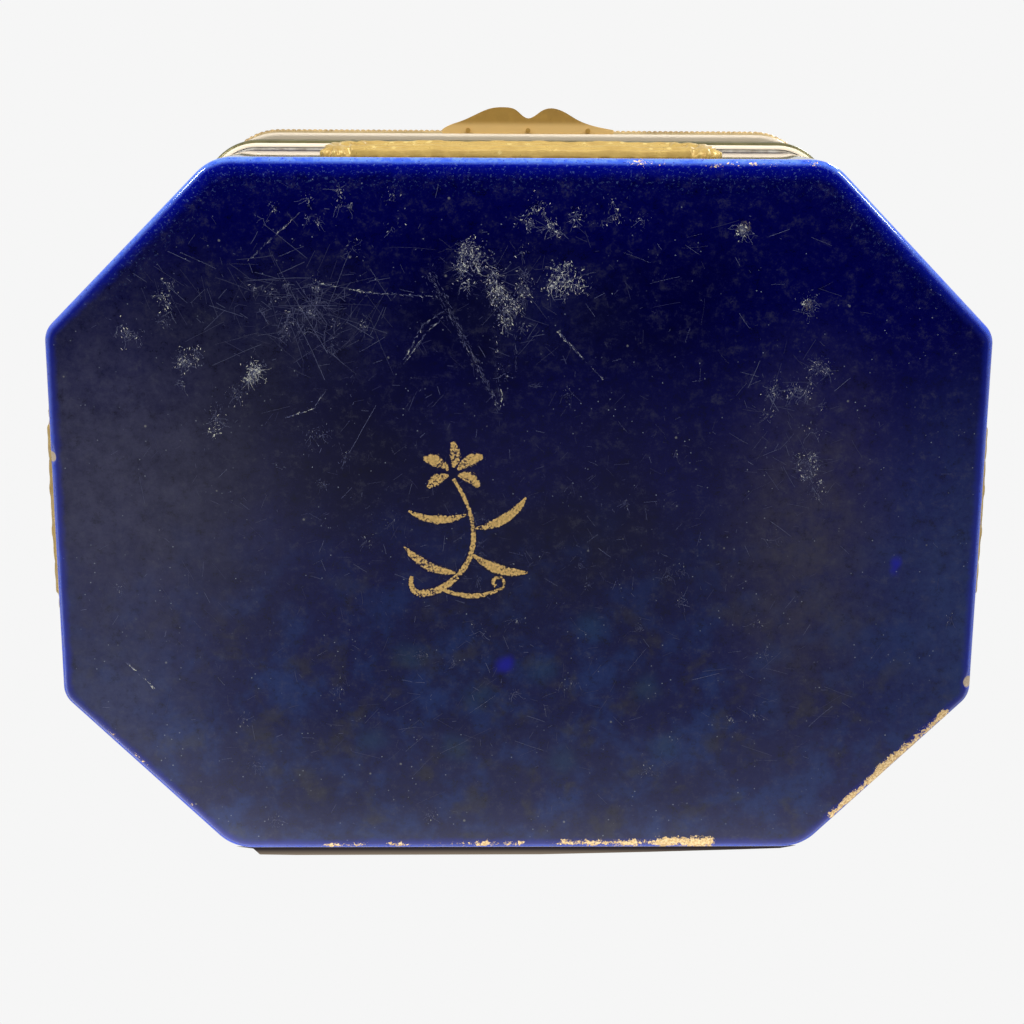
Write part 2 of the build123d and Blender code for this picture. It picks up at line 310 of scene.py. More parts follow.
def wear_on_base(s, p, colour):
    """Clouding, films and specks in the glaze of the base. Returns the colour."""
    bent = s.bent(p, 0.18, 2.2)
    x, y, _ = s.split(bent)
    lower = s.rescale(y, -12.0, 42.0)

    # a richer blue along the front and to the right, paler and blotched towards the hinge
    front = s.rescale(y, -76.0, -42.0, 1.0, 0.0)
    right = s.rescale(x, 10.0, 80.0)
    rich = s.largest(s.times(front, 0.75), s.times(right, 0.55))
    colour = s.mix(rich, colour, (0.0007, 0.0009, 0.082))
    colour = s.mix(s.times(lower, 0.6), colour, (0.002, 0.005, 0.060))
    patchy = s.noise(0.085, detail=5.0, rough=0.62, bend=0.2)
    colour = s.mix(s.times(s.rescale(patchy, 0.44, 0.66), lower, 0.75), colour, (0.006, 0.022, 0.110))
    olive = s.noise(0.11, s.moved(s.mm, (50, 20, 9)), detail=5.0, rough=0.65, bend=0.2)
    colour = s.mix(s.times(s.rescale(olive, 0.50, 0.68), lower, 0.50), colour, (0.026, 0.024, 0.022))
    spots = s.largest(*[s.patch(bent, c, (5.5, 4.8), 1.0) for c in FILM_SPOTS])
    colour = s.mix(s.times(spots, 0.38), colour, (0.010, 0.042, 0.105))

    # rubbed grey films at both sides, and a blue one towards the right edge
    cloud = s.rescale(s.noise(0.16, detail=7.0, rough=0.82), 0.34, 0.66, 0.38, 1.36, smooth=False)
    for centre, size, strength, tone in RUBBED:
        film = s.times(s.patch(bent, centre, size, 1.0), cloud, strength)
        colour = s.mix(film, colour, tone)

    # fine dull grain everywhere
    grain = s.noise(0.30, s.moved(s.mm, (7, 90, 40)), detail=6.0, rough=0.85)
    colour = s.mix(s.rescale(grain, 0.50, 0.74, 0.0, 0.36), colour, (0.062, 0.064, 0.086))
    colour = s.mix(s.rescale(grain, 0.50, 0.30, 0.0, 0.75), colour, (0.001, 0.001, 0.012))

    # dust and pin pricks, a few larger than the rest
    speck = s.rescale(s.cells(0.62), 0.055, 0.10, 1.0, 0.0)
    some = s.rescale(s.noise(0.11, detail=2.0), 0.45, 0.62)
    colour = s.mix(s.times(speck, some, 0.60), colour, (0.30, 0.34, 0.40))
    big = s.rescale(s.cells(0.13), 0.022, 0.045, 1.0, 0.0)
    colour = s.mix(s.times(big, 0.35), colour, (0.32, 0.32, 0.28))

    # spots where the glaze is thin and bright, and two tan stains
    blue = [s.patch(bent, (-3, 33), (3.4, 2.6), 0.9), s.patch(bent, (82, 10), (1.6, 3.8), 1.0)]
    colour = s.mix(s.times(s.largest(*blue), 0.65), colour, (0.004, 0.005, 0.32))
    fine = s.rescale(s.noise(2.4, detail=2.0), 0.46, 0.62)
    stains = [s.patch(bent, (46, -62), (1.6, 1.4), 0.7), s.patch(bent, (60, -46.5), (1.1, 1.6), 0.6)]
    return s.mix(s.times(s.largest(*stains), fine, 0.7), colour, (0.24, 0.20, 0.13))


def worn_gold_edge(s, p):
    """Where the gilt line along the foot survives."""
    run = s.noise(0.16, detail=3.0, rough=0.7)
    crumbs = s.noise(1.25, detail=4.0, rough=0.85)
    broken = s.math("SUBTRACT", s.plus(s.times(run, 0.95), s.times(crumbs, 0.95)), 0.45)
    back = HALF_DEPTH / MM
    rows = (  # from, to, half width, how much is lost
        ((94.6, back - 32.2), (86.0, back - 23.6), 1.1, 0.60),
        ((87.0, back - 24.6), (78.0, back - 15.6), 1.4, 0.57),
        ((79.0, back - 16.6), (70.6, back - 8.2), 1.0, 0.60),
        ((32, back - 1.7), (43, back - 1.5), 1.6, 0.62), ((20, back - 1.6), (34, back - 1.6), 1.3, 0.66),
        ((8, back - 1.5), (22, back - 1.6), 1.1, 0.70), ((-43, back - 1.1), (8, back - 1.5), 1.2, 0.78),
        ((-94, back - 32), (-71, back - 9), 0.9, 0.80), ((22, 1.0 - back), (62, 1.0 - back), 1.3, 0.80))
    kept = []
    for a, b, half, lost in rows:
        near = s.stroke(p, a, b, half * 1.3)
        thick = s.plus(broken, s.times(near, 0.26))
        kept.append(s.times(s.rescale(near, 0.02, 0.12), s.rescale(thick, lost + 0.04, lost + 0.065)))
    return s.largest(*kept)


def body_glaze():
    """Cobalt glaze of the body: pale rim at the foot, partly painted highlight, wear on the base, worn gilt
    line, chips.
    """
    s = Shader("cobalt_glaze_body")
    p = s.vector("SUBTRACT", s.mm, (0, CENTRE_Y / MM, 0))
    edge = s.attribute("edge")
    under = s.rescale(edge, -0.5, 0.5)
    colour = cobalt_base(s)
    colour = s.mix(under, colour, wear_on_base(s, p, colour))

    # the glaze runs thin and pale over the turn of the foot; this pale line and the bright blue band inside
    # it are also painted highlight, widest and palest along the front, which faces the light
    ragged = s.noise(0.30, detail=5.0, rough=0.75)
    front = s.rescale(s.split(p)[1], -HALF_DEPTH / MM + 2, -HALF_DEPTH / MM + 45, 1.0, 0.0)
    reach = s.plus(ragged, 0.5)
    spread = s.plus(2.6, s.times(front, 1.7))
    broad = s.rescale(edge, 0.7, s.times(reach, spread), 1.0, 0.0)
    narrow = s.rescale(edge, s.times(reach, -0.1), s.times(reach, 1.12), 1.0, 0.0)
    outer = s.rescale(edge, -2.1, -1.2)
    deep = s.mix(front, (0.006, 0.013, 0.22), (0.0010, 0.004, 0.27))
    colour = s.mix(s.times(broad, outer, 0.9), colour, deep)
    pale = s.mix(front, (0.060, 0.100, 0.48), (0.085, 0.185, 0.64))
    colour = s.mix(s.times(narrow, outer, 0.92), colour, pale)
    pricks = s.rescale(s.noise(1.5, detail=4.0, rough=0.8), 0.57, 0.66)
    near_rim = s.rescale(edge, 0.0, 9.0, 1.0, 0.0)
    colour = s.mix(s.times(pricks, near_rim, front, outer, 0.4), colour, (0.20, 0.32, 0.66))
    blotch = s.rescale(s.noise(0.22, detail=6.0, rough=0.85), 0.46, 0.60)
    colour = s.mix(s.times(blotch, narrow, outer, 0.80), colour, (0.006, 0.050, 0.50))
    pits = s.rescale(s.cells(0.9), 0.12, 0.22, 1.0, 0.0)
    colour = s.mix(s.times(pits, narrow, outer, 0.7), colour, (0.0015, 0.003, 0.16))

    at_foot = s.rescale(edge, -2.2, -1.2)
    gold = s.times(worn_gold_edge(s, p), at_foot)
    gilt = s.mix(s.rescale(s.noise(1.9), 0.4, 0.6), (0.62, 0.40, 0.16), (0.95, 0.70, 0.36))
    colour = s.mix(gold, colour, gilt)
    chips = s.largest(*[s.patch(p, c, (r * 0.8, r), 0.3) for c, r in CHIPS])
    chips = s.times(chips, s.rescale(edge, -4.0, -3.0))
    colour = s.mix(chips, colour, CHIP_TONE)
    s.set(Base_Color=colour, Metallic=s.times(gold, 0.25))
    front_wall = s.rescale(s.split(p)[1], -HALF_DEPTH / MM + 2, -HALF_DEPTH / MM + 6, 1.0, 0.0)
    rough = s.rescale(edge, -4.0, -1.0, s.blend(front_wall, 0.16, 0.04), 0.07)
    rough = s.largest(rough, s.times(s.largest(gold, chips), 0.45))
    s.set(Roughness=rough, IOR=1.5, Normal=glaze_bump(s))
    return s.material


def white_glaze():
    """Clear glaze over white porcelain, a little grey and cloudy, with iron specks."""
    s = Shader("white_glaze")
    tone = s.mix(s.rescale(s.noise(0.03), 0.35, 0.7), (0.56, 0.545, 0.50), (0.47, 0.455, 0.42))
    speck = s.rescale(s.cells(0.16), 0.012, 0.028, 1.0, 0.0)
    tone = s.mix(s.times(speck, 0.6), tone, (0.15, 0.10, 0.06))
    rough = s.rescale(s.noise(0.05), 0.3, 0.7, 0.10, 0.20)
    s.set(Base_Color=tone, Roughness=rough, IOR=1.5, Normal=glaze_bump(s))
    return s.material


def brass(name, light, dark, metal=0.5, tarnish=0.5, paler_place=None, pale_tone=(0.62, 0.53, 0.40)):
    """Old lacquered brass: tarnish in patches, fine rubbing and small dents.

    Paler place, where it is given, is a function that returns a mask where the brass turns to the pale
    tone: painted highlight on the mounts' lower lips, and paler towards the root on the thumbpiece.
    """
    s = Shader(name)
    patches = s.noise(0.12, detail=4.0, rough=0.65, bend=0.8)
    rub = s.noise(1.0, s.moved(s.mm, scale=(3.0, 3.0, 0.25)), detail=3.0)
    colour = s.mix(s.rescale(patches, 0.40, 0.70, 0.0, tarnish), light, dark)
    colour = s.mix(s.rescale(rub, 0.45, 0.75, 0.0, 0.35), colour, tuple(min(1.0, c * 1.25) for c in light))
    grime = s.rescale(s.noise(0.3, detail=5.0, rough=0.7), 0.62, 0.70, 0.0, tarnish * 0.4)
    colour = s.mix(grime, colour, (0.055, 0.055, 0.030))
    # the paler place: painted highlight on the mounts' lips, paler brass at the thumbpiece's root
    if paler_place:
        place = paler_place(s)
        colour = s.mix(place, colour, pale_tone)
        metal = s.rescale(place, 0.0, 1.0, metal, 0.15)
    s.set(Base_Color=colour, Metallic=metal, Roughness=s.rescale(patches, 0.3, 0.7, 0.30, 0.46))
    s.set(Normal=s.bump(s.plus(s.noise(0.8), s.times(rub, 0.4)), 0.15, 0.06 * MM))
    return s.material


def gilding():
    """Thick matt gilding on raised slip, rubbed bright on top and brown in the hollows."""
    s = Shader("gilding")
    worn = s.noise(0.35, detail=4.0, rough=0.7)
    colour = s.mix(s.rescale(worn, 0.35, 0.7), (0.34, 0.23, 0.063), (0.27, 0.173, 0.043))
    hollow = s.node("NewGeometry").outputs["Pointiness"]
    colour = s.mix(s.rescale(hollow, 0.40, 0.49, 0.75, 0.0), colour, (0.20, 0.105, 0.03))
    colour = s.mix(s.rescale(hollow, 0.52, 0.60, 0.0, 0.6), colour, (0.49, 0.38, 0.145))
    s.set(Base_Color=colour, Metallic=0.35, Roughness=s.rescale(worn, 0.3, 0.7, 0.26, 0.46))
    s.set(Normal=s.bump(s.noise(2.0, detail=3.0), 0.25, 0.08 * MM))
    return s.material


def plaster():
    """Grey-white bedding plaster with grains and stains."""
    s = Shader("plaster")
    tone = s.mix(s.rescale(s.noise(0.4, detail=4.0), 0.35, 0.7), (0.62, 0.58, 0.50), (0.40, 0.34, 0.26))
    s.set(Base_Color=tone, Roughness=0.9, Normal=s.bump(s.noise(3.0, detail=4.0), 0.5, 0.1 * MM))
    return s.material


def steel():
    """Steel of the hinge pin, drawn along X and dulled."""
    s = Shader("pin_steel")
    drawn = s.noise(1.0, s.moved(s.mm, scale=(12.0, 0.3, 0.3)), detail=3.0)
    tone = s.mix(s.rescale(drawn, 0.3, 0.7), (0.42, 0.40, 0.37), (0.28, 0.26, 0.24))
    s.set(Base_Color=tone, Metallic=1.0, Roughness=s.rescale(drawn, 0.3, 0.7, 0.25, 0.45))
    return s.material


# ---------------------------------------------------------------- porcelain pieces

def quarter(proud, z, radius, start, steps=6):
    """Profile points (proud, z) on a quarter circle from angle start, going anticlockwise."""
    turns = [start + pi / 2 * k / steps for k in range(steps + 1)]
    return [(proud + radius * cos(t), z + radius * sin(t)) for t in turns]


def make_body(cobalt, white):
    """The body: base, rounded foot, walls and mouth in cobalt, inside in white glaze."""
    base = [(-d * MM, BASE_FILM * MM) for d in (34, 27, 21, 16, 12, 9, 6.5, 4.8, 3.6, 2.9)]
    base += [(-2.4 * MM, 0.015 * MM), (-2.0 * MM, 0.0)]
    foot = quarter(-FOOT, FOOT, FOOT, -pi / 2, 8)
    wall = [(0, z * MM) for z in (2.3, 3, 4, 6, 9, 13, 18, 24, 30, 36, 41, 45)] + [(0, BODY_TOP - 0.6 * MM)]
    rim = [(-0.2 * MM, BODY_TOP - 0.15 * MM), (-0.7 * MM, BODY_TOP), (-WALL + 0.7 * MM, BODY_TOP)]
    rim += [(-WALL + 0.2 * MM, BODY_TOP - 0.15 * MM), (-WALL, BODY_TOP - 0.6 * MM)]
    inside = [(-WALL, z * MM) for z in (44, 36, 28, 20, 14)]
    cove = quarter(-WALL - 4 * MM, FLOOR + 4 * MM, 4 * MM, 0, 6)
    cove = [(proud, 2 * (FLOOR + 4 * MM) - z) for proud, z in cove]
    profile = base + foot + wall + rim + inside + cove[1:] + [(-16 * MM, FLOOR), (-26 * MM, FLOOR)]
    verts, faces = stacked([ring_at(r, z, LEG) for r, z in profile], closed=False)
    size = len(verts) // len(profile)
    inner_from = (len(base) + len(foot) + len(wall) + 3) * size
    slots = [1 if min(f) >= inner_from else 0 for f in faces]
    for i, (x, y, z) in enumerate(verts):
        for (cx, cy), radius in CHIPS:
            near = hypot(x - cx * MM, y - CENTRE_Y - cy * MM, (z - 0.4 * MM) * 1.3) / (radius * MM)
            if near < 1 and z < 4 * MM:
                inward = 0.45 * MM * (1 - near) ** 0.7
                verts[i] = (x - inward * (1 if cx > 0 else -1), y, z + inward * 0.6)
    obj = new_object("body_shell", verts, faces, materials=(cobalt, white), face_slots=slots)
    runs = [0.0]
    for (r0, z0), (r1, z1) in zip(profile, profile[1:]):
        runs.append(runs[-1] + hypot(r1 - r0, z1 - z0))
    turn = runs[len(base) + 4]
    set_attribute(obj, "edge", [(turn - run) / MM for run in runs for _ in range(size)])
    return finish_piece(obj, "casket", "glazed_porcelain", "body")


def dome_height(x, y, inset=0.0):
    """Height of the lid's dome over a place in the plan."""
    r = hypot(x, y)
    return LID_HIGH.z - 1.2 * GILT_FILM - DOME_RADIUS + sqrt((DOME_RADIUS - inset) ** 2 - r * r)


def lid_shell(outer, inset, steps, shoulder):
    """Rings of the lid's outside or inside, from the mouth over the shoulder to the middle of the dome."""
    low, rings = LID_LOW.z, []
    for part in (0.0, 0.15, 0.4, 0.7, 1.0):
        ring = []
        for x, y, _, _ in plan(outer, LID_LEG):
            top = dome_height(x, y, inset) - shoulder
            ring.append((x, y + CENTRE_Y, low + (top - low) * part))
        rings.append(ring)
    for k in range(1, 9):
        turn = pi / 2 * k / 8
        drop = shoulder * (1 - sin(turn))
        ring = plan(outer - shoulder * (1 - cos(turn)), LID_LEG)
        rings.append([(x, y + CENTRE_Y, dome_height(x, y, inset) - drop) for x, y, _, _ in ring])
    last = plan(outer - shoulder - 3 * MM, LID_LEG)
    for k in range(steps):
        ring = [(x * (1 - k / steps), y * (1 - k / steps)) for x, y, _, _ in last]
        rings.append([(x, y + CENTRE_Y, dome_height(x, y, inset)) for x, y in ring])
    return rings


def make_lid(cobalt, white):
    """The lid: upright wall, rounded shoulder and shallow dome, hollow beneath."""
    proud = (LID_HIGH.x - LID_LOW.x) / 2 - HALF_WIDTH
    outside = lid_shell(proud, 0.0, 24, SHOULDER)
    inside = lid_shell(proud - LID_WALL, LID_WALL, 16, 3 * MM)
    verts, faces = stacked(inside[::-1] + outside, closed=False)
    inner = len(inside) * len(outside[0])
    slots = [1 if max(f) < inner else 0 for f in faces]
    obj = new_object("lid_shell", verts, faces, materials=(cobalt, white), face_slots=slots)
    return finish_piece(obj, "cover", "glazed_porcelain", "lid")


def lid_glaze():
    """Cobalt glaze of the lid, with a few pale specks."""
    s = Shader("cobalt_glaze_lid")
    colour = cobalt_base(s)
    speck = s.rescale(s.cells(0.3), 0.03, 0.06, 1.0, 0.0)
    colour = s.mix(s.times(speck, 0.3), colour, (0.30, 0.34, 0.40))
    s.set(Base_Color=colour, Roughness=0.07, IOR=1.5, Normal=glaze_bump(s))
    return s.material


# ---------------------------------------------------------------- brass mounts

def mm_points(*pairs):
    return [(a * MM, b * MM) for a, b in pairs]


def make_collars(metal, pale):
    """Both rim mounts as channel mouldings. Returns the body's and the lid's."""
    body_profile = mm_points(
        (0.4, 44.95), (0.42, 44.82), (0.5, 44.8), (1.25, 44.8), (1.4, 44.9), (1.75, 45.1), (1.98, 45.6),
        (2.0, 46.4), (1.75, 47.1), (1.55, 47.5), (1.55, 48.4), (1.75, 48.8), (2.0, 49.5), (2.0, 51.3),
        (1.8, 51.8), (1.3, 52.0), (-5.9, 52.0), (-6.2, 51.8), (-6.2, 44.9), (-6.1, 44.8), (-5.5, 44.8),
        (-5.4, 44.9), (-5.4, 50.6), (0.4, 50.6))
    lid_profile = mm_points(
        (2.6, 52.2), (3.1, 52.3), (3.4, 52.7), (3.5, 53.3), (3.45, 54.2), (3.3, 54.8), (3.35, 55.1),
        (3.6, 55.4), (3.75, 56.0), (3.8, 56.9), (3.7, 57.8), (3.4, 58.5), (2.8, 58.8), (1.4, 58.8),
        (1.4, 53.6), (-3.9, 53.6), (-3.9, 58.7), (-4.0, 58.8), (-4.6, 58.8), (-4.7, 58.7), (-4.7, 52.4),
        (-4.5, 52.2))
    mounts = []
    # the body's mount takes brass darkened as painted shade, the lid's a paler brass as painted highlight;
    # their lower lips, marked by the lip attribute, are painted paler still as highlight
    for name, part, profile, leg, lip_top, material in (
            ("body", "casket", body_profile, LEG, 44.85 * MM, metal),
            ("lid", "cover", lid_profile, LID_LEG, 52.8 * MM, pale)):
        verts, faces = stacked([ring_at(r, z, leg) for r, z in profile], closed=True)
        mount = new_object(name + "_mount", verts, faces, materials=(material,))
        lips = [1.0 if z < lip_top and r > 0 else 0.0 for r, z in profile]
        ring = len(verts) // len(profile)
        set_attribute(mount, "lip", [value for value in lips for _ in range(ring)])
        mounts.append(finish_piece(mount, part, "gilt_brass", name + "_collar"))
    return mounts


def make_milled_bead(metal):
    """The milled bead along the lid's mount: one long roll with a notch at every pitch."""
    middle, radius, pitch = 56.9 * MM, 0.85 * MM, 1.25 * MM
    proud = (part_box("lid_collar")[1].x - HALF_WIDTH) - radius
    points = plan(proud, LID_LEG, counts=(520, 150, 300), arc=30)
    lengths = [0.0]
    for (x0, y0, *_), (x1, y1, *_) in zip(points, points[1:] + points[:1]):
        lengths.append(lengths[-1] + hypot(x1 - x0, y1 - y0))
    notches = round(lengths[-1] / pitch)
    rings = []
    for k in range(8):
        turn = 2 * pi * k / 8
        ring = []
        for (x, y, nx, ny), along in zip(points, lengths):
            wave = abs(sin(pi * notches * along / lengths[-1]))
            r = radius * (0.62 + 0.38 * wave ** 0.6)
            ring.append((x + nx * r * cos(turn), y + ny * r * cos(turn) + CENTRE_Y, middle + r * sin(turn)))
        rings.append(ring)
    verts, faces = stacked(rings, closed=True)
    obj = new_object("milled_bead", verts, faces, materials=(metal,))
    return finish_piece(obj, "cover", "gilt_brass")


def dress_node(name, material, bevel=0.0):
    """A CAD node keeps its shape and gets a material, and a small bevel where it has sharp edges."""
    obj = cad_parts[name]
    obj.data.materials.clear()
    obj.data.materials.append(material)
    if bevel:
        made = obj.modifiers.new("edge", "BEVEL")
        made.width, made.segments, made.limit_method = bevel, 2, "ANGLE"
        made.angle_limit = radians(35)
        obj.data.shade_smooth()
        obj.modifiers.new("normals", "WEIGHTED_NORMAL").keep_sharp = True
    return obj


# ---------------------------------------------------------------- relief frames and gilt ornament

def curve(*controls, steps=14):
    """Points on the Bezier curve with the given control points."""
    points = []
    for k in range(steps + 1):
        row = [Vector(c) for c in controls]
        while len(row) > 1:
            row = [a.lerp(b, k / steps) for a, b in zip(row, row[1:])]
        points.append(tuple(row[0]))
    return points


def spiral(centre, r0, r1, first, last, steps=18):
    """Points on a spiral round a centre, from radius r0 at angle first to r1 at angle last, in degrees."""
    points = []
    for k in range(steps + 1):
        r, t = r0 + (r1 - r0) * k / steps, radians(first + (last - first) * k / steps)
        points.append((centre[0] + r * cos(t), centre[1] + r * sin(t)))
    return points


def filled(path, step=2.0):
    """The path with points added so that none are further apart than step."""
    points = [path[0]]
    for (u0, v0), (u1, v1) in zip(path, path[1:]):
        n = max(1, round(hypot(u1 - u0, v1 - v0) / step))
        points += [(u0 + (u1 - u0) * k / n, v0 + (v1 - v0) * k / n) for k in range(1, n + 1)]
    return points


def tapered(steps, start, middle, end):
    """A size at each of steps + 1 points that runs from start through middle to end."""
    sizes = []
    for k in range(steps + 1):
        t = k / steps
        sizes.append((1 - t) ** 2 * start + 2 * t * (1 - t) * middle + t * t * end)
    return sizes


class Relief:
    """Half-round ridges laid along paths on a surface. Sizes are in millimetres on the surface."""

    def __init__(self, place, below=0.3):
        self.place, self.below = place, below
        self.verts, self.faces, self.across = [], [], []

    def ridge(self, path, half_widths, heights, ribs=6):
        """One closed ridge. Half widths and heights are given at each point, or once for all of them."""
        n = len(path)
        widths = half_widths if isinstance(half_widths, list) else [half_widths] * n
        heights = heights if isinstance(heights, list) else [heights] * n
        first = len(self.verts)
        for i, (u, v) in enumerate(path):
            u0, v0 = path[max(i - 1, 0)]
            u1, v1 = path[min(i + 1, n - 1)]
            size = hypot(u1 - u0, v1 - v0) or 1.0
            nu, nv = -(v1 - v0) / size, (u1 - u0) / size
            for k in range(ribs + 1):
                t = -1 + 2 * k / ribs
                rise = heights[i] * sqrt(max(0.0, 1 - t * t))
                self.verts.append(self.place(u + nu * t * widths[i], v + nv * t * widths[i], rise))
                self.across.append(1 - abs(t))
            for t in (1, -1):
                foot = self.place(u + nu * t * widths[i], v + nv * t * widths[i], -self.below)
                self.verts.append(foot)
                self.across.append(0.0)
        size = ribs + 3
        for i in range(n - 1):
            a, b = first + i * size, first + (i + 1) * size
            self.faces += [(a + k, a + (k + 1) % size, b + (k + 1) % size, b + k) for k in range(size)]
        self.faces.append(tuple(range(first, first + size)))
        self.faces.append(tuple(range(first + (n - 1) * size, first + n * size)))

    def mirrored(self, path, *sizes):
        """The ridge in all four quarters."""
        for su in (1, -1):
            for sv in (1, -1):
                self.ridge([(su * u, sv * v) for u, v in path], *sizes)

    def made(self, name, material, smooth=True):
        obj = new_object(name, self.verts, self.faces, smooth, (material,))
        set_attribute(obj, "across", self.across)
        return obj


def fused(obj, voxel):
    """Melts the ridges of a relief into one cast surface and softens its joins."""
    remesh = obj.modifiers.new("melt", "REMESH")
    remesh.mode, remesh.voxel_size, remesh.use_smooth_shade = "VOXEL", voxel, True
    soften = obj.modifiers.new("soften", "SMOOTH")
    soften.factor, soften.iterations = 0.5, 2
    graph = bpy.context.evaluated_depsgraph_get()
    mesh = bpy.data.meshes.new_from_object(obj.evaluated_get(graph))
    old = obj.data
    obj.modifiers.clear()
    obj.data = mesh
    if not mesh.materials:
        mesh.materials.append(old.materials[0])
    mesh.shade_smooth()
    return obj


def scroll_frame(relief, w, h, k, tall):
    """A rococo frame of half size w by h: rails ending in volutes, corner leaves, crests and a fillet."""
    def fillet(inset, radius, half, height):
        """A ridge along a rounded rectangle."""
        ring = []
        for j, (cu, cv) in enumerate(((1, 1), (-1, 1), (-1, -1), (1, -1))):
            middle = (cu * (w - inset * k), cv * (h - inset * k))
            ring += spiral(middle, radius * k, radius * k, 90 * j, 90 * j + 90, 8)
        relief.ridge(filled(ring + ring[:2]), half * k, height * tall)

    def lay(path, widths, heights):
        """A ridge in all four quarters that tapers through three widths and three heights."""
        steps = len(path) - 1
        widths = tapered(steps, *[x * k for x in widths])
        relief.mirrored(path, widths, tapered(steps, *[x * tall for x in heights]))

    fillet(6.8, 3.0, 2.5, 0.50)
    fillet(8.6, 2.6, 0.55, 0.66)

    # long rail, almost straight, into a volute
    a, b = (0, h - 2.3 * k), (w - 8.0 * k, h - 2.9 * k)
    rail = curve(a, (b[0] / 3, h - 3.0 * k), (b[0] * 0.7, h - 1.4 * k), b, steps=60)
    swell = [1 + 0.05 * sin(0.37 * u / k) + 0.03 * sin(1.3 * u / k + 1) for u, v in rail]
    widths = tapered(60, 0.8 * k, 1.1 * k, 1.2 * k)
    heights = tapered(60, 0.95 * tall, 1.0 * tall, 0.9 * tall)
    widths, heights = ([x * y for x, y in zip(sizes, swell)] for sizes in (widths, heights))
    relief.mirrored(rail, widths, heights)
    for drop, half, height in ((1.7, 0.55, 0.78), (-1.25, 0.5, 0.70), (3.0, 0.4, 0.55)):
        line = [(u, v - drop * k + 0.25 * k * sin(0.3 * u / k + drop)) for u, v in rail]
        relief.mirrored(line, half * k, [height * tall * x for x in swell])
    lay(spiral((b[0], b[1] - 1.7 * k), 1.7 * k, 0.5 * k, 90, -330), (1.0, 0.7, 0.5), (0.8, 0.9, 1.0))

    # short rail and its volute
    a, b = (w - 2.4 * k, 2.0 * k), (w - 3.2 * k, h - 9.2 * k)
    rail = curve(a, (w - 4.0 * k, a[1] + 2 * k), (w - 0.2 * k, b[1] - 3 * k), b, steps=14)
    lay(rail, (0.9, 1.5, 1.1), (0.7, 1.0, 0.85))
    lay(spiral((b[0] - 1.4 * k, b[1]), 1.4 * k, 0.45 * k, 0, 400), (0.9, 0.6, 0.4), (0.75, 0.85, 0.95))

    # corner leaf: seven lobes from one root
    corner = (w - 5.4 * k, h - 5.4 * k)
    for angle, length in ((-40, 4.2), (-12, 5.0), (16, 5.7), (45, 6.2), (74, 5.7), (102, 5.0), (130, 4.2)):
        t = radians(angle)
        bend = radians(angle + (8 if angle > 45 else -8 if angle < 45 else 0))
        far = (corner[0] + length * k * cos(t) * 0.86, corner[1] + length * k * sin(t) * 0.86)
        near = (corner[0] - 1.0 * k * cos(bend), corner[1] - 1.0 * k * sin(bend))
        x, y = (near[0] + far[0]) / 2, (near[1] + far[1]) / 2
        lobe = curve(near, (x + 0.5 * k * sin(bend), y - 0.5 * k * cos(bend)), far, steps=9)
        lay(lobe, (0.5, 1.25, 0.55), (0.9, 1.05, 0.45))

    # a palmette at the middle of each short side
    for angle, length in ((90, 4.0), (62, 4.2), (34, 4.4), (8, 4.2)):
        t = radians(90 - angle)
        root = (w - 4.2 * k, 0.3 * k * sin(t))
        far = (w - 4.2 * k + length * 0.95 * k * cos(t), length * 1.1 * k * sin(t))
        lay(curve(root, far, steps=6), (0.4, 0.9, 0.45), (0.95, 1.0, 0.4))


def wall_place(turn, distance, height):
    """Turns (along, up, out) on a wall into a place, for the wall that faces turn about Z, 0 the front."""
    t = radians(turn)

    def place(u, v, out):
        x, y = u * MM, -(distance + out * MM)
        return (x * cos(t) - y * sin(t), x * sin(t) + y * cos(t) + CENTRE_Y, height + v * MM)

    return place


def dome_place(u, v, out):
    """Turns (along, across, out) on the lid's dome into a place."""
    x, y = u * MM, v * MM
    return (x, y + CENTRE_Y, dome_height(x, y) + out * MM)


def make_frames(gilt):
    """The four raised frames of the body and the one on the lid. Returns those of the body."""
    made = []
    for name, turn, distance in WALLS:
        low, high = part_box("frame_" + name)
        size = high - low
        relief = Relief(wall_place(turn, distance, (low.z + high.z) / 2))
        wide, thick = max(size.x, size.y) / 2 / MM, min(size.x, size.y) / MM
        scroll_frame(relief, wide, size.z / 2 / MM, 0.92, thick * 0.92)
        piece = fused(relief.made("frame_scrolls_" + name, gilt), 0.32 * MM)
        made.append(finish_piece(piece, "casket", "raised_gilding", "frame_" + name))
    low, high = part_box("lid_frame")
    relief = Relief(dome_place)
    scroll_frame(relief, (high.x - low.x) / 2 / MM, (high.y - low.y) / 2 / MM, 1.25, 1.6)
    piece = fused(relief.made("frame_scrolls_lid", gilt), 0.4 * MM)
    finish_piece(piece, "cover", "raised_gilding", "lid_frame")
    return made


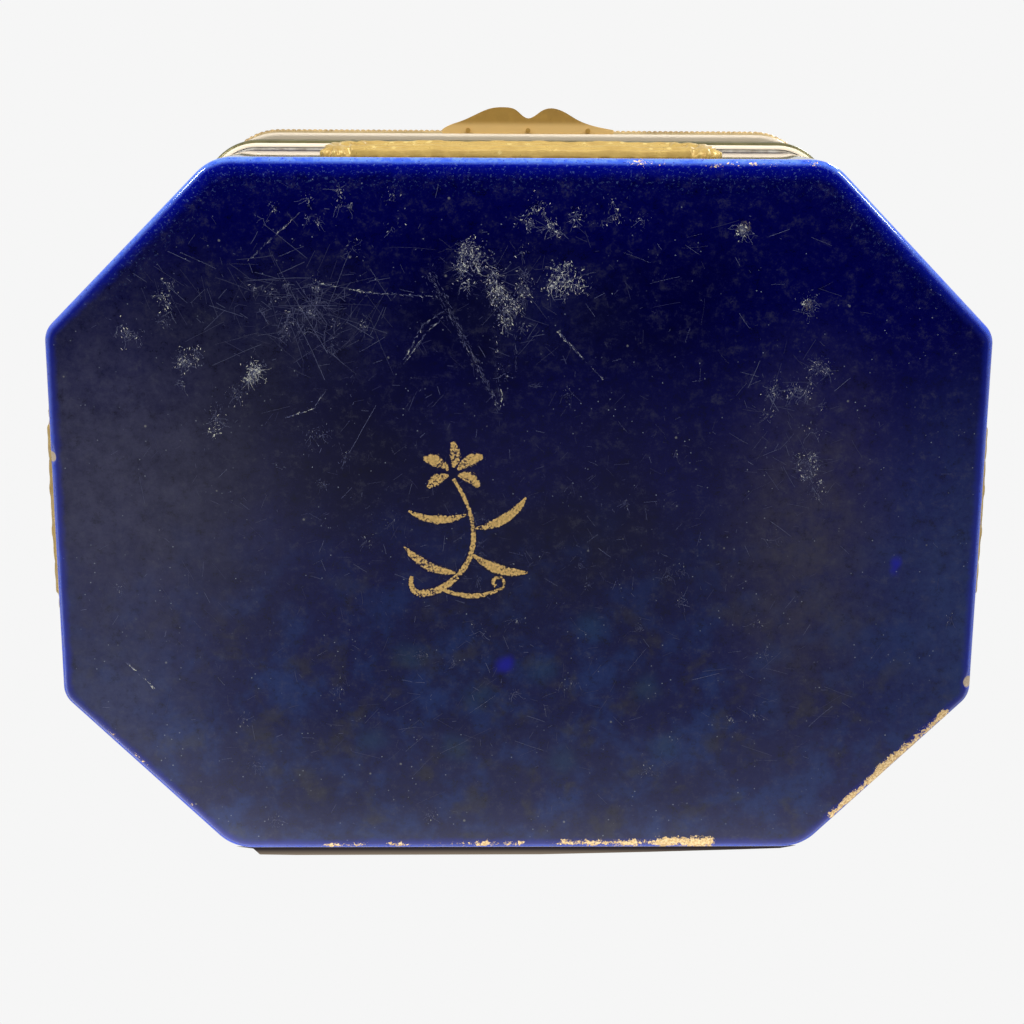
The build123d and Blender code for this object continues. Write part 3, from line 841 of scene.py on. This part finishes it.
def sprig(relief, k, rise):
    """A flower sprig in single brush strokes, thick and thin, about 30 wide and 35 tall at size 1."""
    def stroke(path, *sizes):
        widths = [x * k for x in tapered(len(path) - 1, *sizes)]
        relief.ridge([(u * k, v * k) for u, v in path], widths, rise, 4)

    stem = curve((-11, -16.5), (-2, -16), (6.5, -5), (-3.4, 9.6), steps=30)
    stroke(stem, 1.25, 0.75, 0.55)
    stroke(curve((-11, -16.5), (-13.5, -15.0), (-12.6, -12.4), steps=8), 1.1, 0.7, 0.5)
    head = Vector((-3.4, 11.0))
    for turn, length in ((92, 6.8), (30, 7.4), (-30, 6.4), (154, 7.2), (212, 6.4)):
        along = Vector((cos(radians(turn)), sin(radians(turn))))
        aside = Vector((-along.y, along.x)) * (1.3 if -90 < turn < 90 else -1.3)
        root, tip = head + along * 1.2, head + along * length
        stroke(curve(root, (root + tip) / 2 + aside, tip, steps=12), 0.3, 2.9, 0.6)
    leaves = (((0.9, -7.5), (13.0, -11.5), -2.6, 2.7), ((1.4, -1.5), (12.5, 5.5), -3.2, 2.5),
              ((-3.0, -11.6), (-14.2, -5.6), 2.8, 2.6), ((-0.6, 1.6), (-13.2, 2.4), 3.0, 2.2))
    for root, tip, bow, width in leaves:
        root, tip = Vector(root), Vector(tip)
        aside = Vector((root.y - tip.y, tip.x - root.x)).normalized() * bow
        stroke(curve(root, (root + tip) / 2 + aside, tip, steps=14), 0.35, width, 0.3)
    stroke(curve((-6.5, -15.2), (1, -18.5), (6.5, -15.5), steps=12), 0.4, 1.1, 0.5)
    stroke(spiral((6.4, -13.9), 1.6, 0.9, -90, 240, 14), 0.4, 0.6, 0.7)


def worn_gilt(name, kept):
    """Thin burnished gold, worn through in specks and along its edges to the glaze beneath."""
    s = Shader(name)
    coarse, crumbs = s.noise(0.28, detail=3.0, rough=0.6), s.noise(1.9, detail=4.0, rough=0.75)
    body = s.plus(s.times(coarse, 0.45), s.times(crumbs, 0.65))
    body = s.plus(body, s.rescale(s.attribute("across"), 0.0, 0.55, -0.13, 0.05))
    gold = s.rescale(body, 0.66 - kept, 0.70 - kept)
    tone = s.mix(s.rescale(crumbs, 0.35, 0.65), (0.50, 0.31, 0.10), (0.92, 0.62, 0.23))
    s.set(Base_Color=s.mix(gold, cobalt_base(s), tone), Metallic=s.times(gold, 0.35))
    s.set(Roughness=s.blend(gold, 0.07, 0.42), IOR=1.5, Normal=glaze_bump(s))
    return s.material


HAIRLINES = (  # fields of hairlines: centre, half size, how many, directions in degrees, longest
    ((-46, -45), (21, 14), 120, (-70, 70), 14), ((-44, -43), (13, 9), 260, (-90, 90), 3.5),
    ((-66, -52), (20, 14), 50, (20, 80), 8), ((-4, -46), (26, 20), 70, (-70, 60), 7),
    ((58, -20), (16, 22), 80, (-80, 80), 7), ((-15, 46), (34, 14), 40, (-50, 40), 8),
    ((30, -58), (28, 12), 30, (-20, 70), 7), ((-72, 18), (18, 34), 50, (40, 110), 7),
    ((0, 0), (92, 68), 950, (-90, 90), 3.5), ((60, 45), (26, 20), 40, (-60, 30), 8),
)
SCUFFS = (  # crumbled white scuffs: centre, half size, lean in degrees, knots, brightness
    ((-11, -56), (2.6, 5.0), 15, 20, 0.85), ((-5.5, -51), (1.6, 5.0), -12, 14, 0.85),
    ((-3.5, -45), (2.4, 2.6), -30, 9, 0.9), ((0.5, -52), (1.0, 4.6), 0, 7, 0.5),
    ((8.6, -51.5), (4.0, 3.8), 30, 18, 1.0), ((2.5, -66.5), (1.5, 3.2), 10, 5, 0.7),
    ((5.8, -63), (2.4, 1.4), 30, 5, 0.7), ((-56.6, -31.8), (1.7, 1.8), 0, 12, 1.0),
    ((-70, -37), (3.6, 5.5), 20, 9, 0.6), ((-74, -47), (2.4, 4.0), 10, 6, 0.7),
    ((-63, -24), (2.0, 5.0), 25, 6, 0.5), ((62, -11), (3.8, 5.0), 0, 14, 0.55),
    ((56, -28), (6.0, 4.6), 20, 14, 0.5), ((64, -33), (4.0, 2.6), 0, 6, 0.4),
    ((46, -62), (1.3, 1.1), 0, 7, 0.7), ((60, -46.5), (0.7, 1.3), 0, 5, 0.6),
    ((-82, -40), (2.2, 1.8), 0, 4, 0.6), ((17, -66), (8.0, 4.0), 0, 7, 0.5),
    ((-40, -66), (20, 6), 0, 10, 0.45), ((-45, -45), (16, 10), 0, 22, 0.42),
    ((0, 10), (85, 60), 0, 44, 0.35),
)
STREAKS = (  # dragged scuffs: from, to, half width at each end, how many, brightness
    ((-19.5, -53), (-12, -39), 1.3, 0.9, 150, 0.20), ((-12, -39), (-4.5, -24), 0.8, 0.6, 130, 0.26),
    ((-16.2, -44.9), (-20.5, -42.0), 0.15, 0.15, 26, 0.34),
    ((-20.5, -42.0), (-24.6, -34.5), 0.15, 0.15, 36, 0.34),
    ((-16.0, -43.9), (-19.6, -40.6), 0.15, 0.15, 24, 0.30),
    ((-19.6, -40.6), (-24.4, -34.2), 0.15, 0.15, 34, 0.30),
    ((-42.7, -50.6), (-31, -48.5), 0.15, 0.2, 60, 0.36), ((-31, -48.5), (-19, -48), 0.2, 0.15, 50, 0.30),
    ((7.6, -40.7), (12, -36), 0.3, 0.25, 40, 0.40), ((12, -36), (17.2, -30.7), 0.2, 0.12, 26, 0.28),
    ((-57, -55), (-46, -65), 0.12, 0.12, 60, 0.30), ((-1.5, -46), (-1.0, -33), 0.4, 0.3, 30, 0.16),
    ((-86, 32), (-80, 38), 0.15, 0.2, 30, 0.45), ((-50, -22), (-44, -24), 0.08, 0.08, 30, 0.40),
    ((-44, -24), (-41.5, -27.5), 0.08, 0.08, 20, 0.40), ((-5.5, -40.5), (-4.0, -24.5), 0.2, 0.5, 26, 0.5),
)


def wandering(rng, start, heading, length, bend, steps):
    """Points of a line that sets off along heading (in radians) and swings by up to bend at each step."""
    points, (x, y) = [start], start
    for _ in range(steps):
        heading += rng.uniform(-bend, bend)
        x, y = x + cos(heading) * length / steps, y + sin(heading) * length / steps
        points.append((x, y))
    return points


def in_ellipse(rng, centre, size, lean=0.0):
    """A random place in an ellipse, thicker towards its middle."""
    u, v = rng.gauss(0, 0.48) * size[0], rng.gauss(0, 0.48) * size[1]
    t = radians(lean)
    return (centre[0] + u * cos(t) - v * sin(t), centre[1] + u * sin(t) + v * cos(t))


def scratch_paint():
    """Broken glaze: grey-blue where it is only dulled, chalky where it has crumbled."""
    s = Shader("broken_glaze")
    grain = s.noise(1.7, detail=3.0, rough=0.7)
    tone = s.times(s.attribute("tone"), s.rescale(grain, 0.35, 0.65, 0.55, 1.1))
    dull = s.mix(s.rescale(tone, 0.0, 0.35), (0.008, 0.009, 0.050), (0.075, 0.085, 0.16))
    s.set(Base_Color=s.mix(s.rescale(tone, 0.30, 0.95), dull, (0.78, 0.78, 0.62)), Roughness=0.5)
    return s.material


def make_scratches():
    """Hairlines, crumbled scuffs and dragged marks cut in the glaze of the base."""
    rng = Random(7)

    def place(u, v, out):
        return (u * MM, v * MM + CENTRE_Y, (BASE_FILM - out) * MM)

    relief, tones = Relief(place, below=0.01), []

    def cut(path, half_width, tone):
        # only on the flat of the base, clear of the foot's rounding
        inside = [(u, v) for u, v in path if abs(u) < 96 and abs(v) < 73 and abs(u) + abs(v) < 134]
        if len(inside) == len(path):
            relief.ridge(path, half_width, BASE_FILM * 0.6, 2)
            tones.extend([tone] * (len(relief.verts) - len(tones)))

    for centre, size, count, (low, high), longest in HAIRLINES:
        for _ in range(count):
            length = longest * rng.uniform(0.10, 1.0) ** 2
            heading = radians(rng.uniform(low, high) + rng.choice((0, 180)))
            path = wandering(rng, in_ellipse(rng, centre, size), heading, length, 0.06, 4)
            cut(path, rng.uniform(0.012, 0.045), 0.34 * rng.random() ** 1.6 + 0.02)
    for centre, size, lean, knots, bright in SCUFFS:
        for _ in range(knots):
            knot, spread = in_ellipse(rng, centre, size, lean), rng.uniform(0.35, 1.3)
            for _ in range(rng.randint(10, 40)):
                start = (rng.gauss(knot[0], spread), rng.gauss(knot[1], spread))
                heading = radians(lean + 90) + rng.gauss(0, 0.7)
                path = wandering(rng, start, heading, rng.uniform(0.05, 0.55), 0.6, 3)
                cut(path, rng.uniform(0.012, 0.065), bright * rng.choice((0.12, 0.2, 0.3, 0.45, 0.8, 1.7)))
            for _ in range(3):
                heading = radians(lean + 90) + rng.gauss(0, 0.8)
                thread = wandering(rng, knot, heading, rng.uniform(0.8, 3.2), 0.4, 8)
                cut(thread, rng.uniform(0.015, 0.035), bright * rng.uniform(0.3, 0.8))
    for a, b, wide, narrow, count, bright in STREAKS:
        heading = atan2(b[1] - a[1], b[0] - a[0])
        for _ in range(count):
            t = rng.random()
            aside = rng.gauss(0, 0.5) * (wide + (narrow - wide) * t)
            x, y = a[0] + (b[0] - a[0]) * t, a[1] + (b[1] - a[1]) * t
            start = (x - sin(heading) * aside, y + cos(heading) * aside)
            path = wandering(rng, start, heading + rng.gauss(0, 0.10), rng.uniform(0.1, 1.0), 0.25, 3)
            cut(path, rng.uniform(0.015, 0.06), bright * rng.choice((0.4, 0.6, 0.8, 1.0, 2.2)))
    obj = relief.made("glaze_scratches", scratch_paint(), False)
    set_attribute(obj, "tone", tones)
    finish_piece(obj, "casket", "glazed_porcelain")


MARK_PLACE = (-11.0, 0.5)  # middle of the gilt sprig on the base, from the middle of the base


def make_gilt_sprigs():
    """The worn sprig on the base, and smaller ones inside the frames and on the lid."""
    def base_place(u, v, out):
        return ((MARK_PLACE[0] + u) * MM, CENTRE_Y + (MARK_PLACE[1] - v) * MM, (BASE_FILM - out) * MM)

    relief = Relief(base_place, below=0.0)
    sprig(relief, 0.98, BASE_FILM * 0.9)
    gold = worn_gilt("worn_gilt_base", 0.125)
    finish_piece(relief.made("gilt_sprig_base", gold, False), "casket", "glazed_porcelain")
    bright = worn_gilt("worn_gilt_walls", 0.20)
    height = (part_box("frame_front")[0].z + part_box("frame_front")[1].z) / 2
    for name, turn, distance in WALLS:
        wall = wall_place(turn, distance, height)
        relief = Relief(wall, below=0.02)
        for side, shift in ((-1, -13.0), (1, 13.0)) if turn % 180 == 0 else ((1, 0.0),):
            relief.place = lambda u, v, out: wall(side * v + shift, u * 0.8, out)
            sprig(relief, 0.5, GILT_FILM / MM)
        finish_piece(relief.made("gilt_sprig_" + name, bright, False), "casket", "glazed_porcelain")
    relief = Relief(dome_place, below=0.02)
    sprig(relief, 1.15, GILT_FILM / MM)
    finish_piece(relief.made("gilt_sprig_lid", bright, False), "cover", "glazed_porcelain")


# ---------------------------------------------------------------- stage, light and camera

TABLE_GAP = 1.5 * MM  # between the table and the back edge of the foot
TABLE_LEAN = atan2(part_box("hinge_leaf_lid")[1].y - BODY_HIGH.y - TABLE_GAP, HINGE_Z)
TABLE_BELOW_FOOT = 0.15 * MM  # the table stops this far below the base, under the floor
TABLE_LENGTH = 0.36
CARD_LENGTH = 0.60  # the card that the glaze mirrors in the table's place


def stage_plane(name, centre, size, turn, material):
    """A flat glowing sheet of the stage."""
    bpy.ops.mesh.primitive_plane_add(size=1)
    obj = bpy.context.object
    obj.name = name
    obj.matrix_world = Matrix.Translation(centre) @ turn @ Matrix.Diagonal((*size, 1, 1))
    obj.data.materials.append(material)
    return obj


def one_sided(s, colour):
    """The surface glows in this colour towards its front and is clear from behind."""
    glow, clear = s.node("Emission", {"Color": colour}), s.node("BsdfTransparent")
    behind = s.node("NewGeometry").outputs["Backfacing"]
    return s.shown(s.node("MixShader", {0: behind, 1: glow.outputs[0], 2: clear.outputs[0]}))


def contact_shade(name, reach, high):
    """Pale sheet, seen only from its front, that darkens where something is close above it."""
    s = Shader(name)
    near = s.node("AmbientOcclusion", {"Distance": reach}, samples=12)
    dark = s.rescale(near.outputs["AO"], 0.0, high)
    return one_sided(s, s.mix(dark, (0.10, 0.08, 0.06), (BACKGROUND,) * 3))


def grey_ramp(ramp, stops):
    """Sets the stops of a colour ramp: place and grey value, the first at 0."""
    elements = ramp.color_ramp.elements
    elements.remove(elements[1])
    elements[0].color = (*(stops[0][1],) * 3, 1)
    for place, value in stops[1:]:
        elements.new(place).color = (value, value, value, 1)


def reflected_table():
    """What the glaze sees of the table: brightest at the foot, darker towards the viewer."""
    s = Shader("reflected_table")
    x, y, _ = s.split(s.node("TexCoord").outputs["Generated"])
    ramp = s.node("ValToRGB", {0: y})
    grey_ramp(ramp, (
        (0.0, 0.0), (0.18, 0.04), (0.32, 0.09), (0.45, 0.17), (0.62, 0.25), (0.80, 0.28), (0.87, 0.34),
        (0.91, 0.55), (0.95, 0.75), (0.975, 1.15), (1.0, 1.9)))
    side = s.rescale(x, 0.385, 0.47, 2.2, 1.0)
    return s.shown(s.node("Emission", {"Color": ramp.outputs[0], "Strength": side}))


def only(obj, *rays):
    """The object is seen by these kinds of ray alone."""
    for kind in ("camera", "diffuse", "glossy", "transmission", "shadow", "volume_scatter"):
        setattr(obj, "visible_" + kind, kind in rays)


def gap_shade(along):
    """The dark sliver of table under the casket, deeper at its left."""
    mesh = bpy.data.meshes.new("gap")
    start = Vector((0, BODY_HIGH.y + TABLE_GAP, 0))
    spots = (  # outline: along X, up the table
        (-58, 1.0), (-50, 0.6), (5, 0.7), (30, 2.2), (50, 3.7), (60, 4.6),
        (64, 6.5), (-64, 6.5), (-60, 5.0))
    outline = [start + along * z * MM + Vector((x * MM, 0, 0)) for x, z in spots]
    mesh.from_pydata(outline, [], [tuple(range(len(spots)))])
    s = Shader("gap_shade")
    height = s.rescale(s.split(s.mm)[2], 0.3, 5.0)
    mesh.materials.append(one_sided(s, s.mix(height, (0.24, 0.19, 0.14), (0.030, 0.024, 0.028))))
    obj = bpy.data.objects.new("gap", mesh)
    bpy.context.scene.collection.objects.link(obj)
    return obj


def make_stage():
    """The table behind the hinge, its reflection, and a floor for when the casket stands upright."""
    back = BODY_HIGH.y + TABLE_GAP
    lean = Matrix.Rotation(pi / 2 - TABLE_LEAN, 4, "X")
    along = Vector((0, sin(TABLE_LEAN), cos(TABLE_LEAN)))
    centre = Vector((0, back, 0)) - along * (TABLE_LENGTH / 2 + TABLE_BELOW_FOOT)
    shade = contact_shade("table_shade", 30 * MM, 0.16)
    table = stage_plane("table", centre, (1.2, TABLE_LENGTH), lean, shade)
    only(table, "camera")
    gap = gap_shade(along)
    only(gap, "camera")
    centre = Vector((0, back + 1 * MM, 0)) - along * CARD_LENGTH / 2
    card = stage_plane("table_reflection", centre, (1.0, CARD_LENGTH), lean, reflected_table())
    only(card, "glossy", "diffuse")
    shade = contact_shade("floor_shade", 60 * MM, 0.9)
    floor = stage_plane("floor", (0, 0, -0.1 * MM), (3, 3), Matrix.Identity(4), shade)
    only(floor, "camera")


def make_world():
    """Pale backdrop for the camera; for light, a pale room that is dark below the base."""
    world = bpy.data.worlds.new("studio")
    bpy.context.scene.world = world
    world.use_nodes = True
    world.node_tree.nodes.clear()
    link = world.node_tree.links.new

    def new(kind):
        return world.node_tree.nodes.new("ShaderNode" + kind)

    place, height, ramp = new("SeparateXYZ"), new("MapRange"), new("ValToRGB")
    link(new("TexCoord").outputs["Generated"], place.inputs[0])
    link(place.outputs[2], height.inputs[0])
    height.inputs[1].default_value, height.inputs[2].default_value = -1.0, 1.0
    link(height.outputs[0], ramp.inputs[0])
    grey_ramp(ramp, (
        (0.0, 0.004), (0.05, 0.006), (0.12, 0.35), (0.30, 0.55), (0.50, 0.75), (0.70, 0.85), (1.0, 1.0)))
    room, plain, choice = new("Background"), new("Background"), new("MixShader")
    link(ramp.outputs[0], room.inputs[0])
    room.inputs[1].default_value = 0.8
    plain.inputs[0].default_value = (BACKGROUND, BACKGROUND, BACKGROUND, 1)
    link(new("LightPath").outputs["Is Camera Ray"], choice.inputs[0])
    link(room.outputs[0], choice.inputs[1])
    link(plain.outputs[0], choice.inputs[2])
    link(choice.outputs[0], new("OutputWorld").inputs[0])


def area_light(name, place, size, power, mirrored=False):
    """A soft square light that points at the casket. Only a mirrored one shows in the glaze."""
    data = bpy.data.lights.new(name, "AREA")
    data.size, data.energy = size, power
    obj = bpy.data.objects.new(name, data)
    obj.location = place
    middle = Vector((0, CENTRE_Y, BODY_TOP / 2))
    obj.rotation_euler = (middle - Vector(place)).to_track_quat("-Z", "Y").to_euler()
    obj.visible_glossy = mirrored
    bpy.context.scene.collection.objects.link(obj)
    return obj


def light_undersides(pieces):
    """A soft light from below the front that falls on the given pieces alone."""
    lamp = area_light("under_front", (0, CENTRE_Y - 0.34, -0.52), 0.45, 5.2)
    lit = bpy.data.collections.new("lit_from_below")
    for piece in pieces:
        lit.objects.link(piece)
    lamp.light_linking.receiver_collection = lit


def make_lights():
    """A soft box over the front, two small lights for the corners, two above the lid, one at the back."""
    area_light("over_front", (0.05, -0.75, -0.25), 0.55, 8.0)
    area_light("left_front", (-0.60, -0.55, -0.10), 0.16, 3.0, mirrored=True)
    area_light("right_front", (0.62, -0.50, -0.10), 0.16, 2.6, mirrored=True)
    area_light("above_lid", (-0.25, -0.25, 0.85), 0.45, 7.0)
    area_light("lid_spark", (0.45, -0.45, 0.75), 0.12, 2.0, mirrored=True)
    area_light("behind", (-0.45, 0.75, 0.40), 0.40, 5.0)


CAMERA_PLACE = (-8.82 * MM, CENTRE_Y - 91.67 * MM, -376.98 * MM)
CAMERA_YAW, CAMERA_PITCH, CAMERA_ROLL = 0.0188, 0.2343, 0.0057  # radians from the casket's axis
CAMERA_LENS = 63.43


def make_camera():
    """Below the base and in front of it, looking up the casket's axis and a little towards the hinge."""
    data = bpy.data.cameras.new("camera")
    data.sensor_width, data.lens, data.clip_start = 36.0, CAMERA_LENS, 0.01
    obj = bpy.data.objects.new("camera", data)
    bpy.context.scene.collection.objects.link(obj)
    yaw, pitch, roll = CAMERA_YAW, CAMERA_PITCH, CAMERA_ROLL
    look = Vector((sin(yaw) * cos(pitch), sin(pitch), cos(yaw) * cos(pitch)))
    right = look.cross(Vector((0, -1, 0))).normalized()
    up = right.cross(look)
    right, up = right * cos(roll) + up * sin(roll), up * cos(roll) - right * sin(roll)
    turn = Matrix((right, up, -look)).transposed().to_4x4()
    obj.matrix_world = Matrix.Translation(CAMERA_PLACE) @ turn
    bpy.context.scene.camera = obj


# ---------------------------------------------------------------- assembly

def on_lip(s):
    """The lower lip of a mount, where the brass is painted paler as highlight."""
    return s.attribute("lip")


def on_root(s):
    """Where the thumbpiece comes out from under the bead."""
    root = BODY_LOW.y / MM - 5.6
    return s.rescale(s.split(s.mm)[1], root - 1.0, root + 0.6, 0.0, 0.9)


def main():
    bpy.context.scene.view_settings.view_transform = "Standard"
    make_camera()
    make_world()
    make_lights()
    make_stage()

    white = white_glaze()
    make_body(body_glaze(), white)
    make_lid(lid_glaze(), white)
    mount = brass("mount_brass", (0.34, 0.26, 0.11), (0.12, 0.095, 0.045), 0.75, 0.7)
    # the body's mount: the brass darkened as painted shade, its lower lip paler as painted highlight
    shaded_mount_brass = brass("body_mount_brass_painted_shade", (0.15, 0.135, 0.058), (0.06, 0.056, 0.025), 0.75, 0.7, on_lip)
    # the lid's mount: a paler copy of the brass as painted highlight, its lower lip paler still
    pale = brass("lid_mount_brass_painted_highlight", (0.44, 0.32, 0.14), (0.22, 0.165, 0.075), 0.6, 0.6, on_lip,
                 pale_tone=(0.50, 0.43, 0.33))
    body_mount, _ = make_collars(shaded_mount_brass, pale)
    make_milled_bead(brass("bead_brass", (0.50, 0.34, 0.14), (0.20, 0.13, 0.06), tarnish=0.8))
    frames = make_frames(gilding())
    make_gilt_sprigs()
    make_scratches()
    light, dark = (0.50, 0.30, 0.075), (0.36, 0.21, 0.055)
    bright = brass("catch_brass", light, dark, 0.35)
    thumb = brass("thumb_brass", light, dark, 0.35, paler_place=on_root, pale_tone=(0.74, 0.50, 0.20))
    dress_node("thumbpiece", thumb, 0.25 * MM)
    for name in ("catch_tongue", "catch_lug", "hinge_leaf_body", "hinge_leaf_lid"):
        dress_node(name, mount, 0.12 * MM)
    for name in ("hinge_pin_beads", "hinge_rivets_body", "hinge_rivets_lid", "thumbpiece_rivets",
                 "catch_rivets"):
        dress_node(name, bright)
    dress_node("hinge_pin", steel())
    bedding = plaster()
    body_bedding = dress_node("body_bedding", bedding)
    dress_node("lid_bedding", bedding)
    light_undersides([body_mount, body_bedding, *frames])


main()
